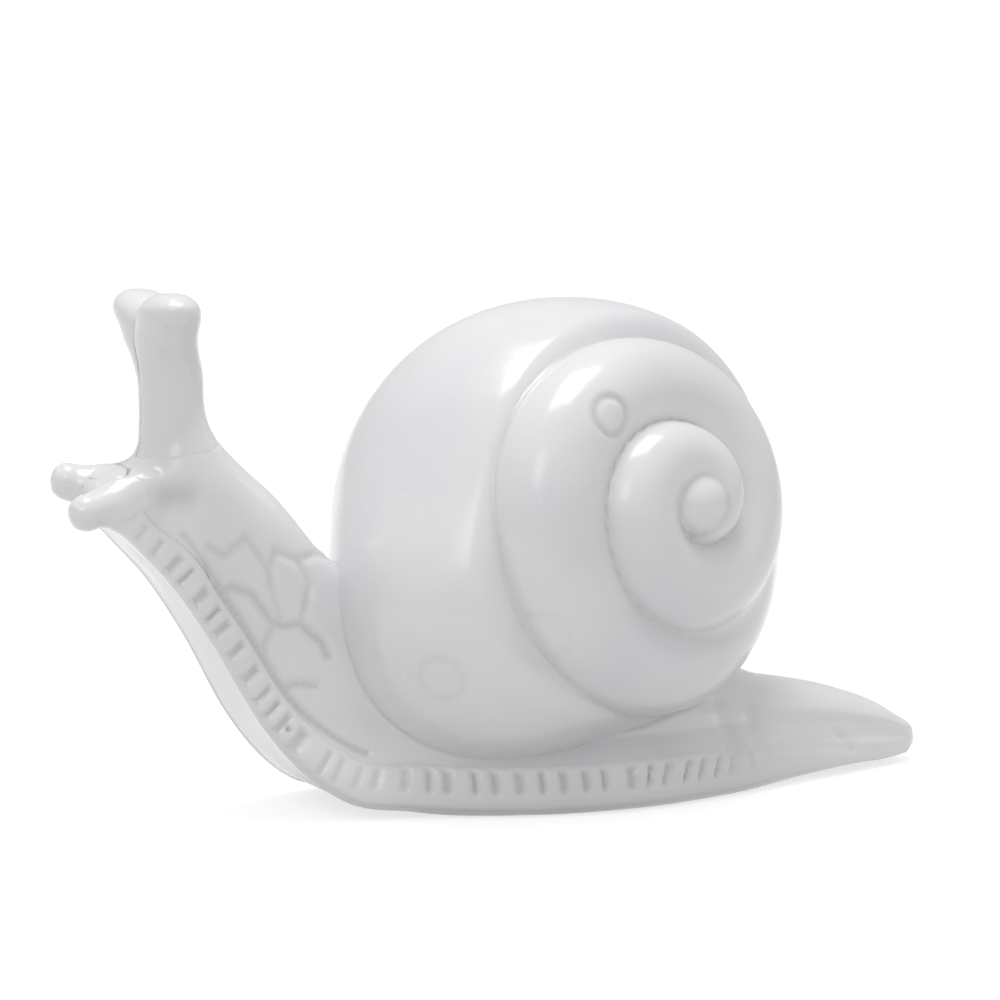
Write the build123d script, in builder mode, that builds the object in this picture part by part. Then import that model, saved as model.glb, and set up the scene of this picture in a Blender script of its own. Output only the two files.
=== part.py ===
"""Glazed ceramic snail figurine: hollow body casting, hollow spiral shell, eye stalks, feelers and felt pads.

Millimetres. +Z is up, the head looks towards -X, the tail points to +X, the shell's spire leans to -Y.
The origin is on the table under the middle of the figurine.
"""

import os
from math import cos, radians, sin

from build123d import *

# Body: foot, tail, neck and head
body_length = 182.0
tail_reach = 95.0
head_rise = 63.2
foot_half_width = 31.0
body_depth = 36.0
fringe_height = 6.0
neck_hollow_diameter = 10.0
neck_hollow_start_share = 0.681
neck_hollow_start_z = 10.5
neck_hollow_end_share = 0.852
neck_hollow_rise_share = 0.78
passage_width = 14.0
passage_z = 5.0
passage_height = 3.0

# Shell
shell_radius = 45.8
shell_place_share = 0.445
spire_turn = -67.0
spire_lift = 9.5
ball_shift_x = 0.5
ball_shift_y = 0.8
lip_radius = 29.6
lip_reach = 21.1
lip_shift_y = -12.0
lip_bite = 0.8
spire_shelf_height = 30.0
shell_wall = 5.5
spire_side_wall = 8.0
seat_z = 11.0
seat_bite = 2.8
pour_hole_diameter = 26.0
vent_diameter = 12.0

# Eye stalks
stalk_setback = 16.8
stalk_root_rise = 4.3
stalk_height = 31.5
stalk_half_spacing = 4.6
stalk_radius = 5.3
knob_radius = 5.7
knob_spread = 9.8

# Feelers
feeler_setback = 8.5
feeler_root_rise = 2.5
right_feeler_length = 10.9
left_feeler_length = 12.5
feeler_half_spacing = 5.1
feeler_spread = 1.9
right_feeler_drop = -1.6
left_feeler_drop = 3.2
feeler_radius = 3.4

# Felt pads
pad_diameter = 12.0
pad_thickness = 1.0
pad_half_spacing = 13.0
front_pad_share = 0.6
back_pad_share = 0.28

# Shared working values
cut_overrun = 5.0
sole_z = pad_thickness
head_x = tail_reach - body_length
head_z = sole_z + head_rise
shell_x = tail_reach - shell_place_share * body_length
shell_z = seat_z - seat_bite + shell_radius
lip_x = shell_x - lip_reach
lip_z = seat_z - lip_bite + lip_radius

# Body stations from tail to head: place along the body, rise of the sole, tilt in degrees,
# half width at the fringe, half width of the flank, depth above the sole, fringe height
body_station_shares = [
    (0.0, 0.012, 0, 0.085, 0.06, 0.10, 0.30),
    (0.027, 0.004, 0, 0.19, 0.14, 0.22, 0.60),
    (0.082, -0.006, 0, 0.355, 0.26, 0.37, 0.85),
    (0.17, -0.006, 0, 0.565, 0.42, 0.51, 1.0),
    (0.28, -0.006, 0, 0.81, 0.60, 0.585, 1.0),
    (0.412, -0.006, 0, 1.0, 0.74, 0.61, 1.0),
    (0.544, -0.006, 0, 0.95, 0.72, 0.64, 1.0),
    (0.654, 0.013, 6, 0.73, 0.48, 0.78, 1.0),
    (0.742, 0.08, 30, 0.56, 0.385, 0.91, 1.0),
    (0.819, 0.31, 52, 0.42, 0.35, 0.955, 1.0),
    (0.874, 0.57, 56, 0.355, 0.36, 0.87, 1.0),
    (0.918, 0.746, 50, 0.34, 0.39, 0.83, 1.0),
    (0.96, 0.88, 45, 0.34, 0.385, 0.72, 0.95),
    (0.986, 0.957, 44, 0.29, 0.32, 0.53, 0.80),
    (1.0, 1.0, 44, 0.18, 0.17, 0.28, 0.45),
]

# Body section outline: fringe edge, groove above it and shoulder of the back
fringe_tuck_share = 0.35
groove_tuck_share = 1.7
groove_height_share = 1.1
shoulder_height_share = 0.62
flank_bulge_share = 0.04

# Spiral whorls: turns from the middle, distance from the spire axis, height along it, whorl radius
whorl_shares = [
    (0.5, 0.118, 0.871, 0.108),
    (0.75, 0.185, 0.809, 0.163),
    (1.0, 0.256, 0.735, 0.209),
    (1.25, 0.331, 0.688, 0.224),
    (1.5, 0.411, 0.637, 0.237),
    (1.75, 0.495, 0.578, 0.243),
    (2.0, 0.583, 0.514, 0.254),
    (2.25, 0.62, 0.443, 0.25),
    (2.5, 0.58, 0.366, 0.237),
]
sections_per_turn = 8
sections_per_loft = 4
whorl_start_angle = 90.0
apex_ball_share = 1.12

# Eye stalk sections: height, sideways place between stem and knob, radius
stalk_section_shares = [
    (0.0, -0.08, 1.18),
    (0.2, -0.04, 1.1),
    (0.42, 0.0, 1.0),
    (0.7, 0.23, 0.98),
    (0.91, 0.77, 1.0),
]
stalk_lean_share = 0.07

# Feeler outline: radius at the root, half way and at the round tip
feeler_root_share = 1.35
feeler_waist_share = 1.0
feeler_tip_share = 1.1


def sole_plane(place, rise, tilt):
    """Plane across the body at one station, its origin on the sole."""
    origin = (tail_reach - place * body_length, 0, sole_z + rise * head_rise)
    heading = (-cos(radians(tilt)), 0, sin(radians(tilt)))
    return Plane(origin=origin, x_dir=(0, -1, 0), z_dir=heading)


def whorl_at(turn):
    """Distance, height and radius shares of the whorl after so many turns."""
    for lower, upper in zip(whorl_shares, whorl_shares[1:]):
        if turn <= upper[0]:
            break
    blend = (turn - lower[0]) / (upper[0] - lower[0])
    return [low + blend * (high - low) for low, high in zip(lower[1:], upper[1:])]


# Spire frame: its x axis is as near upright as it can be, its z axis runs out through the apex
spire_axis = Vector(
    cos(radians(spire_lift)) * cos(radians(spire_turn)),
    cos(radians(spire_lift)) * sin(radians(spire_turn)),
    sin(radians(spire_lift)),
)
spire_up = Vector(0, 0, 1) - spire_axis * spire_axis.Z
shell_centre = Vector(shell_x, 0, shell_z)
spire_plane = Plane(origin=shell_centre, x_dir=spire_up, z_dir=spire_axis)


def whorl_plane(turn):
    """Plane across the whorl tube after so many turns, and the tube's radius there."""
    distance, height, radius = whorl_at(turn)
    angle = radians(whorl_start_angle + 360 * turn)
    outward = spire_plane.x_dir * cos(angle) + spire_plane.y_dir * sin(angle)
    origin = shell_centre + (outward * distance + spire_axis * height) * shell_radius
    onward = spire_axis.cross(outward)
    return Plane(origin=origin, x_dir=outward, z_dir=onward), radius * shell_radius


# Outer form of the shell: a round body whorl, cut off under the spire, with the spire tube wound on it
ball_plane = Plane(origin=(shell_x + ball_shift_x, ball_shift_y, shell_z), x_dir=-spire_up, z_dir=spire_axis)
lip_centre = Vector(lip_x, lip_shift_y, lip_z)
lip_plane = Plane(origin=lip_centre, x_dir=(0, 1, 0), z_dir=lip_centre - ball_plane.origin)
with BuildPart() as shell_form:
    with Locations(ball_plane.location):
        Sphere(shell_radius)
    with Locations(lip_plane.location):
        Sphere(lip_radius)
    split(bisect_by=spire_plane.offset(spire_shelf_height), keep=Keep.BOTTOM)
    first_turn = whorl_shares[0][0]
    last_turn = whorl_shares[-1][0]
    loft_turns = sections_per_loft / sections_per_turn
    loft_count = round((last_turn - first_turn) / loft_turns)
    for loft_index in range(loft_count):
        for section_index in range(sections_per_loft + 1):
            turn = first_turn + loft_index * loft_turns + section_index / sections_per_turn
            plane, radius = whorl_plane(turn)
            with BuildSketch(plane):
                Circle(radius)
        loft(clean=False)
    start_plane, start_radius = whorl_plane(first_turn)
    with Locations(start_plane.location):
        Sphere(start_radius * apex_ball_share)
    split(bisect_by=Plane.XY.offset(seat_z), keep=Keep.TOP)

# Space inside the shell casting
with BuildPart() as shell_hollow:
    with Locations(ball_plane.location):
        Sphere(shell_radius - shell_wall)
    with Locations(lip_plane.location):
        Sphere(lip_radius - shell_wall)
    split(bisect_by=spire_plane.offset(spire_shelf_height - spire_side_wall), keep=Keep.BOTTOM)
    split(bisect_by=Plane.XY.offset(seat_z + shell_wall), keep=Keep.TOP)
    with BuildSketch(Plane.XY.offset(seat_z - cut_overrun)):
        with Locations((shell_x, 0)):
            Circle(pour_hole_diameter / 2)
    extrude(amount=shell_wall + 2 * cut_overrun)

# Shell casting: hollow, open underneath over the vent
with BuildPart() as shell:
    add(shell_form.part)
    add(shell_hollow.part, mode=Mode.SUBTRACT, clean=False)
shell.part.label = "shell"

# Seat that the shell presses into the body
with BuildPart() as seat_form:
    with Locations(Plane(origin=ball_plane.origin, x_dir=spire_up, z_dir=spire_axis).location):
        Sphere(shell_radius)
    with Locations(lip_plane.location):
        Sphere(lip_radius)
    split(bisect_by=Plane.XY.offset(seat_z), keep=Keep.TOP)

# Outer form of the body before it is hollowed
with BuildPart() as body_form:
    for place, rise, tilt, width, flank, depth, fringe in body_station_shares:
        lip = fringe * fringe_height
        tuck = lip * fringe_tuck_share
        top = depth * body_depth
        edge = width * foot_half_width
        sole_edge = edge - tuck
        groove = (edge - tuck * groove_tuck_share, lip * groove_height_share)
        shoulder = (flank * foot_half_width, lip + (top - lip) * shoulder_height_share)
        middle = (
            (groove[0] + shoulder[0]) / 2 + top * flank_bulge_share,
            (groove[1] + shoulder[1]) / 2,
        )
        with BuildSketch(sole_plane(place, rise, tilt)):
            with BuildLine():
                Line((-sole_edge, 0), (sole_edge, 0))
                for side in (1, -1):
                    lip_middle = (side * edge, lip / 2)
                    ThreePointArc((side * sole_edge, 0), lip_middle, (side * sole_edge, lip))
                    Line((side * sole_edge, lip), (side * groove[0], groove[1]))
                    ThreePointArc(
                        (side * groove[0], groove[1]),
                        (side * middle[0], middle[1]),
                        (side * shoulder[0], shoulder[1]),
                    )
                ThreePointArc(shoulder, (0, top), (-shoulder[0], shoulder[1]))
            make_face()
    loft(clean=False)
    with BuildSketch(Plane.XY.offset(sole_z - cut_overrun)):
        Rectangle(2 * body_length, 2 * body_length)
    extrude(amount=cut_overrun, mode=Mode.SUBTRACT, clean=False)
    add(seat_form.part, mode=Mode.SUBTRACT, clean=False)

# Eye stalks: round clay stalks with knobs, pressed together along the middle plane
stalk_x = head_x + stalk_setback
stalk_root_z = head_z + stalk_root_rise
with BuildPart() as right_eye_stalk:
    for height, spread, radius in stalk_section_shares:
        section_x = stalk_x - height * stalk_height * stalk_lean_share
        section_y = stalk_half_spacing + spread * (knob_spread - stalk_half_spacing)
        with BuildSketch(Plane.XY.offset(stalk_root_z + height * stalk_height)):
            with Locations((section_x, section_y)):
                Circle(radius * stalk_radius)
    loft(clean=False)
    knob_x = stalk_x - stalk_height * stalk_lean_share
    with Locations((knob_x, knob_spread, stalk_root_z + stalk_height)):
        Sphere(knob_radius)
    split(bisect_by=Plane.XZ, keep=Keep.BOTTOM)
right_eye_stalk.part.label = "right_eye_stalk"

with BuildPart() as left_eye_stalk:
    add(right_eye_stalk.part)
    mirror(about=Plane.XZ, mode=Mode.REPLACE)
left_eye_stalk.part.label = "left_eye_stalk"

# Feelers: short waisted clay rods with round tips, the left one drooping
def feeler_run(side, length, drop):
    """Root and run of the feeler on one side."""
    root = Vector(head_x + feeler_setback, side * feeler_half_spacing, head_z + feeler_root_rise)
    return root, Vector(-length, side * feeler_spread, -drop)


def feeler_outline(root, run):
    """Half outline of a feeler, drawn along its own middle line."""
    tip = feeler_tip_share * feeler_radius
    tip_shoulder = tip * cos(radians(45))
    length = run.length
    with BuildSketch(Plane(origin=root, x_dir=run, z_dir=run.cross(Vector(0, 0, 1)))) as outline:
        with BuildLine():
            Line((0, 0), (0, feeler_root_share * feeler_radius))
            ThreePointArc(
                (0, feeler_root_share * feeler_radius),
                (length / 2, feeler_waist_share * feeler_radius),
                (length, tip),
            )
            ThreePointArc((length, tip), (length + tip_shoulder, tip_shoulder), (length + tip, 0))
            Line((length + tip, 0), (0, 0))
        make_face()
    return outline.sketch


right_root, right_run = feeler_run(1, right_feeler_length, right_feeler_drop)
with BuildPart() as right_feeler:
    add(feeler_outline(right_root, right_run))
    revolve(axis=Axis(right_root, right_run))
right_feeler.part.label = "right_feeler"

left_root, left_run = feeler_run(-1, left_feeler_length, left_feeler_drop)
with BuildPart() as left_feeler:
    add(feeler_outline(left_root, left_run))
    revolve(axis=Axis(left_root, left_run))
left_feeler.part.label = "left_feeler"

# Space inside the body casting: hollow neck, low passage under the shell and vent hole
neck_start = Vector(tail_reach - neck_hollow_start_share * body_length, 0, neck_hollow_start_z)
neck_end = Vector(
    tail_reach - neck_hollow_end_share * body_length, 0, sole_z + neck_hollow_rise_share * head_rise
)
with BuildPart() as body_hollow:
    with BuildSketch(Plane(origin=neck_start, z_dir=neck_end - neck_start)):
        Circle(neck_hollow_diameter / 2)
    extrude(amount=(neck_end - neck_start).length)
    with Locations(neck_start, neck_end):
        Sphere(neck_hollow_diameter / 2)
    with BuildSketch(Plane.XY.offset(passage_z)):
        with Locations(((neck_start.X + shell_x) / 2, 0)):
            SlotCenterToCenter(shell_x - neck_start.X, passage_width)
    extrude(amount=passage_height)
    with BuildSketch(Plane.XY.offset(sole_z - cut_overrun)):
        with Locations((shell_x, 0)):
            Circle(vent_diameter / 2)
    extrude(amount=seat_z + cut_overrun)

# Body casting: the roots of the stalks and feelers sit in sockets of their own shape
with BuildPart() as body:
    add(body_form.part)
    add(body_hollow.part, mode=Mode.SUBTRACT, clean=False)
    add(right_eye_stalk.part, mode=Mode.SUBTRACT, clean=False)
    add(left_eye_stalk.part, mode=Mode.SUBTRACT, clean=False)
    add(right_feeler.part, mode=Mode.SUBTRACT, clean=False)
    add(left_feeler.part, mode=Mode.SUBTRACT, clean=False)
body.part.label = "body"

# Felt pads stuck under the sole
with BuildPart() as felt_pads:
    with BuildSketch(Plane.XY):
        for pad_share in (front_pad_share, back_pad_share):
            pad_x = tail_reach - pad_share * body_length
            with Locations((pad_x, pad_half_spacing), (pad_x, -pad_half_spacing)):
                Circle(pad_diameter / 2)
    extrude(amount=pad_thickness)
felt_pads.part.label = "felt_pads"

os.makedirs("parts", exist_ok=True)
export_step(body.part, "parts/body.step")
export_step(shell.part, "parts/shell.step")
export_step(left_eye_stalk.part, "parts/left_eye_stalk.step")
export_step(right_eye_stalk.part, "parts/right_eye_stalk.step")
export_step(left_feeler.part, "parts/left_feeler.step")
export_step(right_feeler.part, "parts/right_feeler.step")
export_step(felt_pads.part, "parts/felt_pads.step")
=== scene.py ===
"""Looks of a white glazed ceramic snail figurine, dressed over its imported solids, in metres."""

import math

import bmesh
import bpy
import numpy as np
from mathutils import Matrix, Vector
from mathutils.bvhtree import BVHTree


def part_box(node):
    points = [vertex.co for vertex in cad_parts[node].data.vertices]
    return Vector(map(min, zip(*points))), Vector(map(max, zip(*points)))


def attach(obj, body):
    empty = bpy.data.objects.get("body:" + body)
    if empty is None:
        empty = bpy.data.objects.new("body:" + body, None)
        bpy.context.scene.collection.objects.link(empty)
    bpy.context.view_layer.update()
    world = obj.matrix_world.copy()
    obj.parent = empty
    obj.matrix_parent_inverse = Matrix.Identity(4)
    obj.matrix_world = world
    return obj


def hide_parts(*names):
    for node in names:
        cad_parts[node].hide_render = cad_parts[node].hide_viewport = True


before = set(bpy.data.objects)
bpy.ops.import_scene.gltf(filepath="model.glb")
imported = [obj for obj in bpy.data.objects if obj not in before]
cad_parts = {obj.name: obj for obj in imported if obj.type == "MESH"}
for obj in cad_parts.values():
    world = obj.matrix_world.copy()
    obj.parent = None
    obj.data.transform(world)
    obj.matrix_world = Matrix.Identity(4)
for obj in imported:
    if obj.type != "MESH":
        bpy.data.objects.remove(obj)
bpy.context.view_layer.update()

mm = 0.001
touching = 0.01 * mm

# Body: the snail's foot, tail, neck and head, one hollow slip casting in white clay.
# A carved fringe runs round the foot and up the neck, the neck is scored into plates, the tail is smooth.
# The figurine is glazed and fired at once, so every piece meets this one in a rounded fillet of glaze.
body_low, body_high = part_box("body")
tail_cap = 3.4 * mm
head_cap = 2.6 * mm
tail_x = body_high.x - tail_cap
sole_z = body_low.z
whole_length = 182 * mm
body_length = whole_length - tail_cap
head_rise = 63.2 * mm
foot_half_width = 31 * mm
body_depth = 36 * mm
fringe_height = 9 * mm

# Place along the body, rise of the sole, tilt in degrees, half width at the fringe and at the flank,
# depth above the sole, height of the fringe
station_shares = [
    (0.0, 0.012, 0, 0.155, 0.12, 0.20, 0.38),
    (0.027, 0.008, 0, 0.24, 0.185, 0.292, 0.50),
    (0.082, 0.009, 0, 0.37, 0.275, 0.402, 0.64),
    (0.17, 0.006, 0, 0.565, 0.42, 0.51, 0.85),
    (0.28, 0.0, 0, 0.83, 0.60, 0.585, 0.95),
    (0.412, 0.0, 0, 1.02, 0.74, 0.61, 1.0),
    (0.544, 0.0, 0, 0.93, 0.70, 0.64, 1.0),
    (0.654, 0.015, 7, 0.70, 0.47, 0.77, 0.98),
    (0.742, 0.066, 30, 0.555, 0.385, 0.90, 0.90),
    (0.819, 0.292, 52, 0.42, 0.35, 0.935, 0.74),
    (0.874, 0.56, 56, 0.355, 0.335, 0.84, 0.68),
    (0.918, 0.742, 50, 0.33, 0.325, 0.79, 0.66),
    (0.96, 0.872, 45, 0.32, 0.315, 0.69, 0.62),
    (0.986, 0.95, 44, 0.28, 0.28, 0.51, 0.5),
    (1.0, 1.0, 44, 0.18, 0.17, 0.28, 0.3),
]


def flow(rows, places):
    """Reads a table at any places, on a smooth curve through its rows."""
    rows = np.array(rows, float)
    knots, values = rows[:, 0], rows[:, 1:]
    slopes = np.gradient(values, knots, axis=0)
    index = np.clip(np.searchsorted(knots, places) - 1, 0, len(knots) - 2)
    span = (knots[index + 1] - knots[index])[:, None]
    t = (places - knots[index])[:, None] / span
    ease = t * t * (3 - 2 * t)
    leaving = t * (1 - t) ** 2 * slopes[index]
    arriving = t * t * (1 - t) * slopes[index + 1]
    return values[index] * (1 - ease) + values[index + 1] * ease + span * (leaving - arriving)


def ramp(values, start, end):
    """Rises smoothly from 0 at start to 1 at end."""
    t = np.clip((values - start) / (end - start), 0, 1)
    return t * t * (3 - 2 * t)


def lengths_along(points):
    """Running length of a row of points."""
    steps = np.linalg.norm(np.diff(points, axis=0), axis=1)
    return np.concatenate([[0], np.cumsum(steps)])


def tube_faces(ring_count, ring_size):
    """Faces of a closed tube of rings, whose first and last rings shrink to points."""
    ring, place = np.meshgrid(np.arange(ring_count - 1), np.arange(ring_size), indexing="ij")
    here = ring * ring_size + place
    beside = ring * ring_size + (place + 1) % ring_size
    quads = np.stack([here, beside, beside + ring_size, here + ring_size], axis=-1)
    return quads.reshape(-1, 4)


def grid_normals(points):
    """Outward directions of a grid of points whose second way runs round the ring."""
    along = np.gradient(points, axis=0)
    around = (np.roll(points, -1, axis=1) - np.roll(points, 1, axis=1)) / 2
    normals = np.cross(around, along)
    return normals / np.maximum(np.linalg.norm(normals, axis=2, keepdims=True), 1e-12)


# Rings of the body, evenly spaced along the sole, with a round cap at the tail and at the lip of the head
ring_count = 330
cap_count = 9
even_places = np.linspace(0, 1, 2000)
rough = flow(station_shares, even_places)
sole_line = np.column_stack([-even_places * body_length, rough[:, 0] * head_rise])
sole_lengths = lengths_along(sole_line)
ring_places = np.interp(np.linspace(0, sole_lengths[-1], ring_count), sole_lengths, even_places)
cap_turns = np.linspace(0, 1, cap_count, endpoint=False)
places = np.concatenate([np.zeros(cap_count), ring_places, np.ones(cap_count)])
cap_reach = 1 - cap_turns
head_shrink = np.sqrt(1 - cap_reach**2)
tail_shrink = cap_turns
tail_tip = 1 - cap_turns**2
shrink = np.concatenate([tail_shrink, np.ones(ring_count), head_shrink[::-1]])
advance = np.concatenate([-tail_cap * tail_tip, np.zeros(ring_count), head_cap * cap_reach[::-1]])
rise, tilt, fringe_wide, flank_wide, depth, fringe = flow(station_shares, places).T
tilt = np.radians(tilt)
fringe_wide = fringe_wide * foot_half_width
flank_wide = flank_wide * foot_half_width
depth = depth * body_depth
fringe = fringe * fringe_height
heading = np.column_stack([-np.cos(tilt), np.zeros_like(tilt), np.sin(tilt)])
upward = np.column_stack([np.sin(tilt), np.zeros_like(tilt), np.cos(tilt)])
sole_x = tail_x - places * body_length
sole_points = np.column_stack([sole_x, np.zeros_like(tilt), sole_z + rise * head_rise])
sole_points = sole_points + advance[:, None] * heading

# Half section of the body, from the middle of the sole round the fringe to the middle of the back:
# share of the way round, and a point across and up
tuck = np.minimum(fringe, fringe_wide / 2)
bare = depth - fringe
smooth_tail = 1 - ramp(places, 0.16, 0.30)
groove_wide = fringe_wide - (0.36 - 0.12 * smooth_tail) * tuck
nil = np.zeros_like(depth)
sole_lip = 0.75 * mm
rim_low = -sole_lip * (1 - ramp(rise, 0, 0.06)) * ramp(places, 0.08, 0.25)
outline_shares = [-0.18, 0.0, 0.18, 0.30, 0.34, 0.39, 0.45, 0.52, 0.56, 0.60, 0.68, 0.80, 0.92, 1.0, 1.08]
outline = [
    (-0.66 * fringe_wide, nil),
    (nil, nil),
    (0.66 * fringe_wide, nil),
    (fringe_wide - 0.36 * tuck, rim_low),
    (fringe_wide - 0.08 * tuck, 0.10 * fringe + 0.5 * rim_low),
    (fringe_wide, 0.30 * fringe),
    (fringe_wide - 0.03 * tuck, 0.55 * fringe),
    (fringe_wide - 0.11 * tuck, 0.82 * fringe),
    (fringe_wide - 0.20 * tuck, 0.97 * fringe),
    (groove_wide, 1.07 * fringe),
    (groove_wide + (0.62 - 0.24 * smooth_tail) * (flank_wide - groove_wide), fringe + 0.28 * bare),
    (flank_wide, fringe + 0.62 * bare),
    (0.56 * flank_wide, fringe + 0.92 * bare),
    (nil, depth),
    (-0.56 * flank_wide, fringe + 0.92 * bare),
]
outline_columns = np.array(outline).transpose(0, 2, 1).reshape(len(outline), -1)
half_count = 105
crowding_shares = np.array([(0.0, 0.0), (0.12, 0.27), (0.58, 0.63), (1.0, 1.0)])
half_places = np.interp(np.linspace(0, 1, half_count), *crowding_shares.T)
half = flow(np.column_stack([outline_shares, outline_columns]), half_places)
half = half.reshape(half_count, -1, 2).transpose(1, 0, 2)
mirrored = half[:, -2:0:-1] * np.array([-1, 1])
section = np.concatenate([half, mirrored], axis=1)
around_places = np.concatenate([half_places, half_places[-2:0:-1]])
middle = np.column_stack([nil, depth / 2])[:, None]
section = middle + (section - middle) * shrink[:, None, None]
across = np.array([0, -1, 0])
body_points = (
    sole_points[:, None]
    + section[:, :, :1] * across
    + section[:, :, 1:] * upward[:, None]
)
body_points[..., 2] = np.maximum(body_points[..., 2], sole_z - sole_lip)

# Glaze fillets: the skin swells towards the shell, the stalks and the feelers, and never enters the shell
ball_centre = np.array([14.5, 0.8, 54]) * mm
ball_radius = 45.8 * mm
lip_centre = np.array([-7.1, -12, 39.8]) * mm
lip_radius = 29.6 * mm
shell_seat_z = 11 * mm
fillet_steps = 12
fillet_overlap = 1.01
buried = 3 * mm
head_fillet_reach = 4.5 * mm
nape_fillet_reach = 11 * mm
nape_start_x = -75 * mm
nape_end_x = -67 * mm


def swell(points, distance_to, reach):
    """Moves skin points outwards into a fillet against a neighbour, over a reach."""
    normals = grid_normals(points)
    height = np.zeros(points.shape[:2])
    for step in range(fillet_steps):
        lead = distance_to(points + normals * height[..., None]) - height
        near = np.clip(reach - lead, 0, reach) * ramp(lead, -buried, -buried / 2)
        height = (height + near * near / (4 * reach)) / 2
    return points + normals * (height * fillet_overlap)[..., None]


def rod_distance(points, start, end, radius):
    """Distance from points to a round ended rod."""
    run = end - start
    t = np.clip((points - start) @ run / (run @ run), 0, 1)
    return np.linalg.norm(points - start - t[..., None] * run, axis=-1) - radius


def head_fillet(points):
    """Reach of the fillets on the head: tight at the feelers, wide behind the stalks."""
    nape = ramp(points[..., 0], nape_start_x, nape_end_x)
    return head_fillet_reach + (nape_fillet_reach - head_fillet_reach) * nape


# Bare eye stalks, which the fillets of the head run up to. Together they are one round column that parts
# at the top: height, sideways place, half width along the body and across it, lean along the body
stalk_shares = [
    (-0.2, 0.0, 1.0, 1.0, 0.0),
    (0.0, 0.0, 1.0, 1.0, 0.0),
    (0.25, 0.0, 1.0, 1.0, 0.0),
    (0.446, 0.0, 0.98, 0.99, 0.0),
    (0.597, 0.06, 0.97, 1.03, -0.06),
    (0.675, 0.16, 0.94, 1.12, -0.18),
    (0.75, 0.36, 0.92, 1.24, -0.31),
    (0.83, 0.64, 0.91, 1.33, -0.37),
    (0.88, 0.88, 0.91, 1.33, -0.42),
    (0.925, 1.06, 0.85, 1.20, -0.45),
    (0.955, 1.16, 0.73, 1.02, -0.46),
    (0.978, 1.22, 0.55, 0.75, -0.47),
    (0.992, 1.26, 0.34, 0.46, -0.48),
    (1.0, 1.28, 0.0, 0.0, -0.48),
]
stalk_root_z = 66 * mm
stalk_top_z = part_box("right_eye_stalk")[1].z
stalk_height = stalk_top_z - stalk_root_z
stalk_middle_x = -69.8 * mm
stalk_radius = 6.6 * mm
left_stalk_stretch = 1.025
column_foot_share = -0.2
column_length_share = 0.7
stalk_rings = 90
stalk_points = 64


def bare_stalk(side, stretch):
    """Rings of points of one eye stalk before its fillet, from inside the head up to the knob."""
    root_share = stalk_shares[0][0]
    heights = root_share + (1 - root_share) * np.sin(np.linspace(0, math.pi / 2, stalk_rings))
    angles = np.linspace(0, 2 * math.pi, stalk_points, endpoint=False)
    sideways, half_long, half_wide, lean = flow(stalk_shares, heights).T[:, :, None] * stalk_radius
    ring_x = stalk_middle_x + lean + np.maximum(half_long, 0) * np.cos(angles)
    ring_y = np.maximum(sideways + np.maximum(half_wide, 0) * np.sin(angles), 0) * side
    ring_z = stalk_root_z + heights[:, None] * stalk_height * stretch + 0 * ring_x
    rings = np.stack([ring_x, ring_y, ring_z], axis=-1)[:, ::side]
    return np.concatenate([np.broadcast_to(rings[:1].mean(axis=1, keepdims=True), rings[:1].shape), rings])


def stalk_gap(points):
    """Distance from points to the round column that both stalks rise in."""
    foot = np.array([stalk_middle_x, 0, stalk_root_z + column_foot_share * stalk_height])
    column = np.array([0, 0, column_length_share * stalk_height])
    return rod_distance(points, foot, foot + column, stalk_radius)


# Bare feelers: place along the feeler to the very tip, radius
feeler_shares = [
    (0.0, 1.0), (0.25, 1.0), (0.5, 1.0), (0.7, 1.04), (0.8, 1.05), (0.9, 0.86), (0.97, 0.5), (1.0, 0.0),
]
feeler_root_x = -78.5 * mm
feeler_root_z = 66.7 * mm
feeler_half_spacing = 5.1 * mm
feeler_spread = 1.9 * mm
feeler_rod_share = 0.8
feeler_radius = 3.5 * mm
feeler_tip = 3.74 * mm
feeler_rings = 40
feeler_points = 36
left_feeler_length = 12 * mm
left_feeler_drop = 2.6 * mm
right_feeler_length = 10.4 * mm
right_feeler_drop = -1.6 * mm

# Side, length and drop of each feeler
feelers = {
    "left_feeler": (-1, left_feeler_length, left_feeler_drop),
    "right_feeler": (1, right_feeler_length, right_feeler_drop),
}


def feeler_run(side, length, drop):
    """Root of a feeler and the way from it to the tip."""
    root = np.array([feeler_root_x, side * feeler_half_spacing, feeler_root_z])
    run = np.array([-length, side * feeler_spread, -drop])
    return root, run * (1 + feeler_tip / np.linalg.norm(run))


def bare_feeler(side, length, drop):
    """Rings of points of one feeler before its fillet, from inside the head to the tip."""
    root, run = feeler_run(side, length, drop)
    forward = run / np.linalg.norm(run)
    sideways = np.cross(forward, (0, 0, 1))
    sideways = sideways / np.linalg.norm(sideways)
    downwards = np.cross(forward, sideways)
    along = np.sin(np.linspace(0, math.pi / 2, feeler_rings))
    radii = np.maximum(flow(feeler_shares, along)[:, 0], 0) * feeler_radius
    angles = np.linspace(0, 2 * math.pi, feeler_points, endpoint=False)
    ring = np.cos(angles)[:, None] * sideways + np.sin(angles)[:, None] * downwards
    rings = root + along[:, None, None] * run + radii[:, None, None] * ring
    return np.concatenate([np.broadcast_to(root, rings[:1].shape), rings])


def feeler_gap(points):
    """Distance from points to the nearer feeler."""
    gaps = []
    for side, length, drop in feelers.values():
        root, run = feeler_run(side, length, drop)
        gaps.append(rod_distance(points, root, root + run * feeler_rod_share, feeler_radius))
    return np.minimum(*gaps)


bare_body = BVHTree.FromPolygons(
    body_points.reshape(-1, 3).tolist(), tube_faces(*body_points.shape[:2]).tolist()
)


def body_gap(points):
    """Distance from points to the body before its fillets, less than nothing inside it."""
    gaps = []
    for point in points.reshape(-1, 3):
        nearest, normal, _, distance = bare_body.find_nearest(point)
        gaps.append(math.copysign(distance, normal.dot(Vector(point) - nearest)))
    return np.array(gaps).reshape(points.shape[:-1])


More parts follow.
